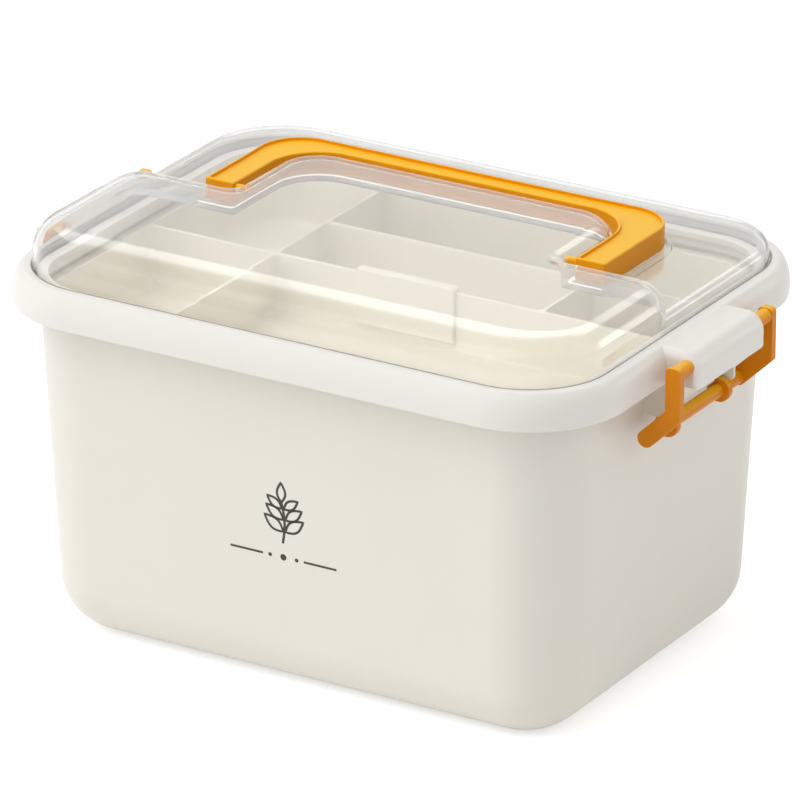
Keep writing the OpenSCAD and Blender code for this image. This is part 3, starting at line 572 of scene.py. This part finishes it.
def cover_skin(u, foot_material):
    """One skin of the cover, moved in by u: the raised T as level lines whose inset follows a quarter circle at the
    step and the block and a quarter ellipse at the ends and the front, a wall below it, and the low part behind.
    The strip at the foot of the block's wall has the material foot_material. Gives the parts and the line on which
    the skin stands."""
    zt, zl, zr = BAR_Z - u, LOW_Z - u, RECESS_Z - u
    r, h, rl = EDGE_R - u / 2, BAR_ROUND_H - u / 2, LOW_EDGE - u / 2
    s_low = 1 - np.sqrt(1 - ((zl - zt + h) / h) ** 2)

    def inset(z):
        """Share of the ellipse's inset and the circle's inset at height z."""
        t = np.clip((z - zt + r) / r, 0, 1)
        s = 1 - np.sqrt(np.clip(1 - np.clip((z - zt + h) / h, 0, 1) ** 2, 0, 1))
        return np.clip((s - s_low) / (1 - s_low), 0, 1), r * (1 - np.sqrt(1 - t * t))

    # angles on the bar's back corner, with the numbers of those where the low part's edge starts and ends
    t0, t1 = (np.degrees(np.arccos(1 - (LOW_IN + d) / (BAR_CORNER - u))) for d in (0, rl))
    turn = np.unique(np.concatenate([np.linspace(0, t0, 3), np.linspace(t0, t1, 11), np.linspace(t1, 90, 9)]))
    i0, i1 = 2, 12

    def front_half(z):
        """The bar's outline from the front middle to the end of its back corner, in three pieces."""
        s, e = inset(z)
        ix, iy, ib = u + s * BAR_END_W, u + s * BAR_FRONT_W, u + e
        fx, fy = (np.maximum(DOME_R - i, COVER_LEAST_R) for i in (ix, iy))
        bx, by = (np.maximum(BAR_CORNER - i, COVER_LEAST_R) for i in (ix, ib))
        return (point(0, -DOME_Y + iy),
                arc(DOME_X - ix - fx, -DOME_Y + iy + fy, fx, fy, np.linspace(-90, 0, CORNER_N + 1)),
                arc(DOME_X - ix - bx, STEP_Y - ib - by, bx, by, turn))

    def block_half(z, x_recess):
        """The block's outline from the recess's edge on the step to the back middle, in four pieces."""
        rise = np.clip((zr + FOOT_FILLET - z) / FOOT_FILLET, 0, 1)
        e = inset(z)[1] - FOOT_FILLET * (1 - np.sqrt(1 - rise ** 2))
        hx, yb, y1, rc = BLOCK_L / 2 - u - e, STEP_Y - u - e, BLOCK_BACK - u - e, NOOK_R + e
        rb = np.maximum(BLOCK_R - u - e, COVER_LEAST_R)
        return (point(x_recess, yb), arc(hx + rc, yb + rc, rc, rc, np.linspace(-90, -180, NOOK_N + 1)),
                arc(hx - rb, y1 - rb, rb, rb, np.linspace(0, 90, BLOCK_N + 1)), point(0, y1))

    x_edge, y_edge, r_edge = (v + RECESS_OVER + u for v in (HAND_OUT, HAND_Y2, HANDLE_RO))
    f = np.linspace(0, 1, WALL_N)
    # the raised T above the low part
    z = np.concatenate([[zl], zt - r * (1 - np.sin(np.linspace(0, np.pi / 2, EDGE_N)))])
    tee = at_height(both_sides(np.concatenate([*front_half(z), *block_half(z, x_edge)], 1)), z)
    # the outer wall under the ends and the front, down to the seat
    z = np.concatenate([zl - rl * f, [SEAT_Z]])[::-1]
    start, front, back = front_half(z)
    right = at_height(np.concatenate([start, front, back[:, :i0 + 1]], 1), z)
    wall = np.concatenate([right[:, :0:-1] * [-1, 1, 1], right], 1)
    # the bar's back corner, down to where it meets the low part's rounded edge
    back = front_half(np.array([zl]))[2][0, i0:i1 + 1]
    d = np.clip(DOME_X - LOW_IN - u - back[:, 0], 0, rl)
    z_foot = zl - rl * (1 - np.sqrt(1 - (1 - d / rl) ** 2))
    z = zl + (z_foot - zl) * f[::-1, None]
    corner = strip(np.concatenate([np.broadcast_to(back, (WALL_N, *back.shape)), z[..., None]], 2))
    # the low part's wall and rounded edge, from the right corner round the back
    hx, hy, cr = (v - LOW_IN - u - d for v in (DOME_X, DOME_Y, DOME_R))
    side = back[:, None] * [0, 1] + point(hx, 0)
    bend = arc(hx - cr, hy - cr, cr, cr, np.linspace(0, 90, CORNER_N + 1))
    edge = at_height(round_back(np.concatenate([side, bend, point(0, hy)], 1)), z_foot)
    edge = np.concatenate([edge[:1] * [1, 1, 0] + [0, 0, SEAT_Z], edge])
    # the step round the recess, and the foot of the block's wall inside it
    z = zr + (zl - zr) * (3 * f ** 2 - 2 * f ** 3)
    x_step, y_step, r_step = (v - RECESS_LEAN * (1 - f) for v in (x_edge, y_edge, r_edge))
    foot = block_half(z, x_step)
    inner = at_height(round_back(np.concatenate(foot, 1)), z)
    bend = arc(x_step - r_step, y_step - r_step, r_step, r_step, np.linspace(0, 90, BLOCK_N + 1))
    rim = at_height(round_back(np.concatenate([foot[0], bend, point(0, y_step)], 1)), z)
    # the level floors: the recess, and the low part between the recess and the rounded edge
    recess = plate_with_holes(np.concatenate([rim[0], inner[0, -2:0:-1]]), [])
    n = 1 + CORNER_N + 1  # points of the bar's outline before its back corner
    step = tee[0, n + i1:n + len(turn)]
    low = plate_with_holes(np.concatenate([edge[-1], (step * [-1, 1, 1])[1:], rim[-1][::-1], step[:0:-1]]), [])
    parts = [capped(tee, first=False), strip(wall), corner, (*mirrored(corner[:2]), CLEAR), strip(edge, HAZY),
             strip(inner, foot_material), strip(rim, flip=True), recess, low]
    return parts, np.concatenate([wall[0, :-1], edge[0, :-1]])


def clear_plastic(name, tint, share, rough, shadow, painted_glow=0.0):
    """Clear polystyrene: share of the light goes through, coloured by tint, and the rest is scattered by a fine haze.
    The index is kept far below the real 1.59, so that the tray stays readable through two skins, and the gloss is a
    coat instead. A shadow ray passes with the shadow's share, so that the contents are lit. The last argument is a
    glow,
    an emission that paints a highlight: the bright line that the white sky makes through a tight bend of the plate."""
    material = bpy.data.materials.new(name)
    material.use_nodes = True
    n, link = material.node_tree.nodes, material.node_tree.links.new
    shader = n["Principled BSDF"]
    for label, value in (("Base Color", (*tint, 1)), ("Roughness", rough), ("Transmission Weight", share),
                         ("IOR", LOW_INDEX), ("Coat Weight", 1.0), ("Coat Roughness", 0.15), ("Coat IOR", 1.5),
                         ("Emission Color", (1.0, 0.98, 0.94, 1)), ("Emission Strength", painted_glow)):
        shader.inputs[label].default_value = value
    through, path, mix = (n.new("ShaderNode" + kind) for kind in ("BsdfTransparent", "LightPath", "MixShader"))
    through.inputs["Color"].default_value = (shadow, shadow, shadow, 1)
    link(path.outputs["Is Shadow Ray"], mix.inputs[0])
    link(shader.outputs[0], mix.inputs[1])
    link(through.outputs[0], mix.inputs[2])
    link(mix.outputs[0], n["Material Output"].inputs["Surface"])
    return material


outer, base_out = cover_skin(0.0, LIT)
inside, base_in = cover_skin(DOME_T, CLEAR)
turned = [(co, [list(f)[::-1] for f in fs], *number) for co, fs, *number in inside]
seat = (np.stack([base_in, base_out]), grid_faces(2, len(base_out)))
clear = clear_plastic("clear_cover", (0.83, 0.83, 0.82), 0.92, 0.06, 0.95)
hazy = clear_plastic("hazy_rim", (0.81, 0.81, 0.805), 0.74, 0.18, 0.9)
# a lighter, glowing strip at the foot of the block's wall: a painted highlight for the bright line seen there
foot_painted_highlight = clear_plastic("foot_painted_highlight", (0.97, 0.965, 0.95), 0.5, 0.2, 0.95, painted_glow=0.95)
piece("cover", outer + turned + [seat], [clear, hazy, foot_painted_highlight], "lid", "lid_dome", sharp=32)

# The carry handle: a yellow moulding, U-shaped in plan, with a flat groove along
# its top. Two pins on its legs snap into holes in the block's sides.
HANDLE_T, HANDLE_RI, HANDLE_GAP = 10.5, 24.0, 0.5
PIN_R, PIN_L, PIN_Y, PIN_UP, PIN_ROOT = 1.8, 5.8, 2.7, 7.6, 1.0
GROOVE_D, GROOVE_EDGE, GROOVE_START, GROOVE_RAMP, GROOVE_LEAN, GROOVE_OVER = 1.4, 1.3, 1.25, 0.35, 0.2, 0.12
LEG_BEVEL, LEG_END_R = 1.2, 1.0
HAND_Z = RECESS_Z + HANDLE_GAP
PAST_ENDS = 30.0  # a distance from the leg's end at which nothing of the end is left


def rod(start, end, r, n=32, ease=0.4):
    """A round rod with eased ends: circles of radius r across the line start..end, the last ones drawn in by ease."""
    start, end = np.array(start, float), np.array(end, float)
    length = np.linalg.norm(end - start)
    d = (end - start) / length
    side = np.cross(d, [0, 0, 1] if abs(d[2]) < 0.9 else [1, 0, 0])
    side /= np.linalg.norm(side)
    a = np.linspace(0, 2 * np.pi, n, endpoint=False)
    wheel = np.outer(np.cos(a), side) + np.outer(np.sin(a), np.cross(d, side))
    b = np.linspace(0, np.pi / 2, 5)
    radius = np.concatenate([r - ease * (1 - np.sin(b)), r - ease * (1 - np.sin(b[::-1]))])
    place = np.concatenate([ease * (1 - np.cos(b)), length - ease * (1 - np.cos(b[::-1]))])
    return capped(start + d * place[:, None, None] + wheel * radius[:, None, None])


# the inner and the outer edge in plan, from the right leg's end round the grip to the left leg's end; leg says how
# far from a leg's end its sections stand, close together where the end is rounded and where the groove starts
leg = np.concatenate([[0.0, 0.25, 0.6, 1.0, 1.25, 1.35, 1.6, 2.0], np.linspace(4, 28, 5)])
angle = np.radians(np.linspace(0, 90, 28))
edges = []
for x, y, r in ((HAND_IN, HAND_Y1, HANDLE_RI), (HAND_OUT, HAND_Y2, HANDLE_RO)):
    straight = np.column_stack([np.full(len(leg), x), HAND_Y0 + leg])
    bend = np.column_stack([x - r * (1 - np.cos(angle)), y - r * (1 - np.sin(angle))])
    half = np.vstack([straight, bend, [[0, bend[-1, 1]]]])
    edges.append(np.vstack([half, half[-2::-1] * [-1, 1]]))
across = edges[1] - edges[0]
width = np.linalg.norm(across, axis=1)[:, None]
across /= width
along = np.concatenate([leg, np.full(len(width) - 2 * len(leg), PAST_ENDS), leg[::-1]])[:, None]
groove_in, groove_out, floor_z = GROOVE_EDGE, LEG_W - GROOVE_EDGE, HANDLE_T - GROOVE_D
section = soften([
    (0, 0, 0.8), (LEG_W, 0, 0.8), (LEG_W, HANDLE_T, 0.9), (groove_out, HANDLE_T, 0.25),
    (groove_out - GROOVE_LEAN, floor_z, 0.2), (groove_in + GROOVE_LEAN, floor_z, 0.2), (groove_in, HANDLE_T, 0.25),
    (0, HANDLE_T, 0.9)], True, 5)
x, z = section[:, 0], section[:, 1]
quarter = np.sqrt(np.clip(LEG_END_R ** 2 - (LEG_END_R - along) ** 2, 0, None))
shrink = np.clip(LEG_END_R - quarter, 0, None) * (along < LEG_END_R)
groove = np.clip((along - GROOVE_START) / GROOVE_RAMP, 0, 1)
in_groove = (x > groove_in - GROOVE_OVER) & (x < groove_out + GROOVE_OVER) & (z > HANDLE_T / 2)
top_z = np.where(in_groove, HANDLE_T + (z - HANDLE_T) * groove, z)
low_z = np.clip(LEG_BEVEL - along, 0, None)
up = np.maximum(np.minimum(top_z, HANDLE_T - shrink), np.maximum(low_z, shrink))
off = np.clip(np.where(x < LEG_W / 2, x, width - (LEG_W - x)), shrink, width - shrink)
plan = edges[0][:, None] + across[:, None] * off[..., None]
handle = capped(np.concatenate([plan, (HAND_Z + up)[..., None]], 2), flip=True)
pin = (HAND_Y0 + PIN_Y, HAND_Z + PIN_UP)
pins = [rod((s * (HAND_IN + PIN_ROOT), *pin), (s * (HAND_IN - PIN_L), *pin), PIN_R) for s in SIDES]
# the upright colour is painted shade: the handle's upright faces get a deeper orange than its level top
yellow = plastic("yellow_plastic", srgb(253, 193, 14), (0.36, 0.44), mottle=0.03, upright=srgb(232, 148, 8),
                 Specular_IOR_Level=0.2)
piece("handle", [handle] + pins, yellow, "handle", "carry_handle")

# The latches: one yellow moulding on each end, two cranked arms with a rod
# between their feet. Pegs at the top snap into the bump, and two rings on the
# rod keep it in line with the catch.
ARM_GAP, ARM_T, ARM_W, ARM_UP, ARM_DOWN, TIP_R = 75.0, 3.6, 7.0, 3.5, 19.9, 2.2
LEG_R, KNEE_R, HEEL_R, RING_R, RING_T, RING_GAP, PEG_R, BORE_D = 3.8, 1.2, 1.6, 5.5, 3.4, 44.2, 3.3, 5.0
ROOT = 1.0  # how far rod and pegs reach into the arms
PEG_PLAY = 0.5  # how far a peg ends before the bottom of its bore

# the leg's upper and lower edges lean by the angle at which they touch both its heel and its round end
dx, dz = ROD_IN + ARM_W / 2, ROD_DOWN - ARM_DOWN
lean = np.arctan2(dz, dx) + np.arcsin(LEG_R / np.hypot(dx, dz))
nx, nz = np.sin(lean), np.cos(lean)
x0, x1, arm_top = PIVOT_X - ARM_W / 2, PIVOT_X + ARM_W / 2, PIVOT_Z + ARM_UP
heel_z = ROD_Z - LEG_R * nz + (x1 - ROD_X - LEG_R * nx) * np.tan(lean)
knee_z = ROD_Z + LEG_R * nz + (x0 - ROD_X + LEG_R * nx) * np.tan(lean)
tip = np.array([ROD_X - LEG_R * nz, ROD_Z - LEG_R * nx])
half_leg, round_r = LEG_R * np.array([nx, -nz]), 0.999 * LEG_R  # a hair under, so that two arcs don't meet
arm = soften([(x1, arm_top, TIP_R), (x0, arm_top, TIP_R), (x0, knee_z, KNEE_R), (*(tip - half_leg), round_r),
              (*(tip + half_leg), round_r), (x1, heel_z, HEEL_R)], True, 8)
latch = prism_pair(arm, ARM_GAP, ARM_T)
latch.append(rod((ROD_X, -ARM_GAP / 2 - ROOT, ROD_Z), (ROD_X, ARM_GAP / 2 + ROOT, ROD_Z), ROD_R))
for s in SIDES:
    ring_y, peg_y0, peg_y1 = s * RING_GAP / 2, s * (ARM_GAP / 2 + ROOT), s * (BUMP_L / 2 - BORE_D + PEG_PLAY)
    latch.append(rod((ROD_X, ring_y - RING_T / 2, ROD_Z), (ROD_X, ring_y + RING_T / 2, ROD_Z), RING_R, 40, 0.6))
    latch.append(rod((PIVOT_X, peg_y0, PIVOT_Z), (PIVOT_X, peg_y1, PIVOT_Z), PEG_R))
# This material is the handle's yellow plastic made darker: painted shade for the latches, which sit in shade under the
# bumps, and its upright colour adds painted shade on their upright faces
yellow_painted_shade = plastic("latch_yellow_painted_shade", srgb(246, 180, 10), (0.4, 0.48), mottle=0.03, upright=srgb(219, 132, 6),
                Specular_IOR_Level=0.2)
piece("latch_hoop_right", latch, yellow_painted_shade, "latch_r", "latch_right", bevel=1.1, sharp=40)
piece("latch_hoop_left", [mirrored(part) for part in latch], yellow_painted_shade, "latch_l", "latch_left",
      bevel=1.1, sharp=40)

# The studio: a pale floor under a white sky. A low key light on the left front,
# a large one overhead and a weak warm one on the right light the plastic, and
# two strips behind the box are seen only as highlights.
FLOOR_HALF, FLOOR_GLOW, SKY_LIGHT = 20, 0.5, 0.6
VIEW_AT, VIEW_TURN, VIEW_LENS = (1.6206, -2.6942, 1.4094), [67.41, 0, 31.04], 360.7


def seen_directly(tree):
    """A value that is 1 for camera, glossy and transmission rays and 0 for others: the largest of the three."""
    path = tree.nodes.new("ShaderNodeLightPath")
    value = path.outputs["Is Camera Ray"]
    for kind in ("Is Glossy Ray", "Is Transmission Ray"):
        larger = tree.nodes.new("ShaderNodeMath")
        larger.operation = "MAXIMUM"
        tree.links.new(value, larger.inputs[0])
        tree.links.new(path.outputs[kind], larger.inputs[1])
        value = larger.outputs[0]
    return value


def softbox(name, at, towards, size, watts, colour=(1.0, 1.0, 1.0), in_gloss=False):
    """An area lamp of size (wide, high) at a place, turned towards a point. It either lights the plastic or, where
    in_gloss is set, only makes a highlight."""
    lamp = bpy.data.lights.new(name, "AREA")
    lamp.shape, lamp.size, lamp.size_y = "RECTANGLE", *size
    lamp.energy, lamp.color = watts, colour
    ob = bpy.data.objects.new(name, lamp)
    ob.location = at
    ob.rotation_euler = (Vector(towards) - Vector(at)).to_track_quat("-Z", "Y").to_euler()
    ob.visible_glossy, ob.visible_diffuse = in_gloss, not in_gloss
    bpy.context.scene.collection.objects.link(ob)


floor_mesh = bpy.data.meshes.new("floor")
floor_mesh.from_pydata([(x * FLOOR_HALF, y * FLOOR_HALF, 0) for x, y in ((-1, -1), (1, -1), (1, 1), (-1, 1))], [],
                       [(0, 1, 2, 3)])
floor = bpy.data.objects.new("floor", floor_mesh)
bpy.context.scene.collection.objects.link(floor)
floor_mat = bpy.data.materials.new("pale_floor")
floor_mat.use_nodes = True
tree = floor_mat.node_tree
shader = tree.nodes["Principled BSDF"]
for label, value in (("Base Color", (0.9, 0.9, 0.9, 1)), ("Roughness", 1.0), ("Specular IOR Level", 0.0),
                     ("Emission Color", (1, 1, 1, 1))):
    shader.inputs[label].default_value = value
gain = tree.nodes.new("ShaderNodeMath")
gain.operation = "MULTIPLY"
gain.inputs[1].default_value = FLOOR_GLOW
tree.links.new(seen_directly(tree), gain.inputs[0])
tree.links.new(gain.outputs[0], shader.inputs["Emission Strength"])
floor_mesh.materials.append(floor_mat)

world = bpy.data.worlds.new("sky")
bpy.context.scene.world = world
world.use_nodes = True
tree = world.node_tree
sky = tree.nodes["Background"]
level = tree.nodes.new("ShaderNodeMapRange")
level.inputs["To Min"].default_value, level.inputs["To Max"].default_value = SKY_LIGHT, 1.0
tree.links.new(seen_directly(tree), level.inputs["Value"])
tree.links.new(level.outputs["Result"], sky.inputs["Strength"])
sky.inputs["Color"].default_value = (1, 1, 1, 1)

softbox("key", (-2.6, -2.3, 1.2), (0, 0, 0.1), (1.8, 1.8), 28)
softbox("top", (-0.8, -1.4, 3.1), (0, 0, 0.1), (2.4, 2.4), 41)
softbox("strip", (-0.9, 1.9, 2.3), (0, 0, 0.17), (3.2, 1.3), 28, in_gloss=True)
softbox("side_strip", (1.75, 2.35, 0.65), (0.1, 0, 0.17), (0.9, 0.8), 6, in_gloss=True)
softbox("fill", (2.2, 1.0, 1.4), (0, 0, 0.1), (1.6, 1.6), 5.5, (1.0, 0.94, 0.84))

camera = bpy.data.cameras.new("photo_view")
camera.sensor_width, camera.lens, camera.clip_end = 36.0, VIEW_LENS, 100
view = bpy.data.objects.new("photo_view", camera)
view.location = VIEW_AT
view.rotation_euler = np.radians(VIEW_TURN)
bpy.context.scene.collection.objects.link(view)
bpy.context.scene.camera = view
bpy.context.scene.view_settings.view_transform = "Standard"
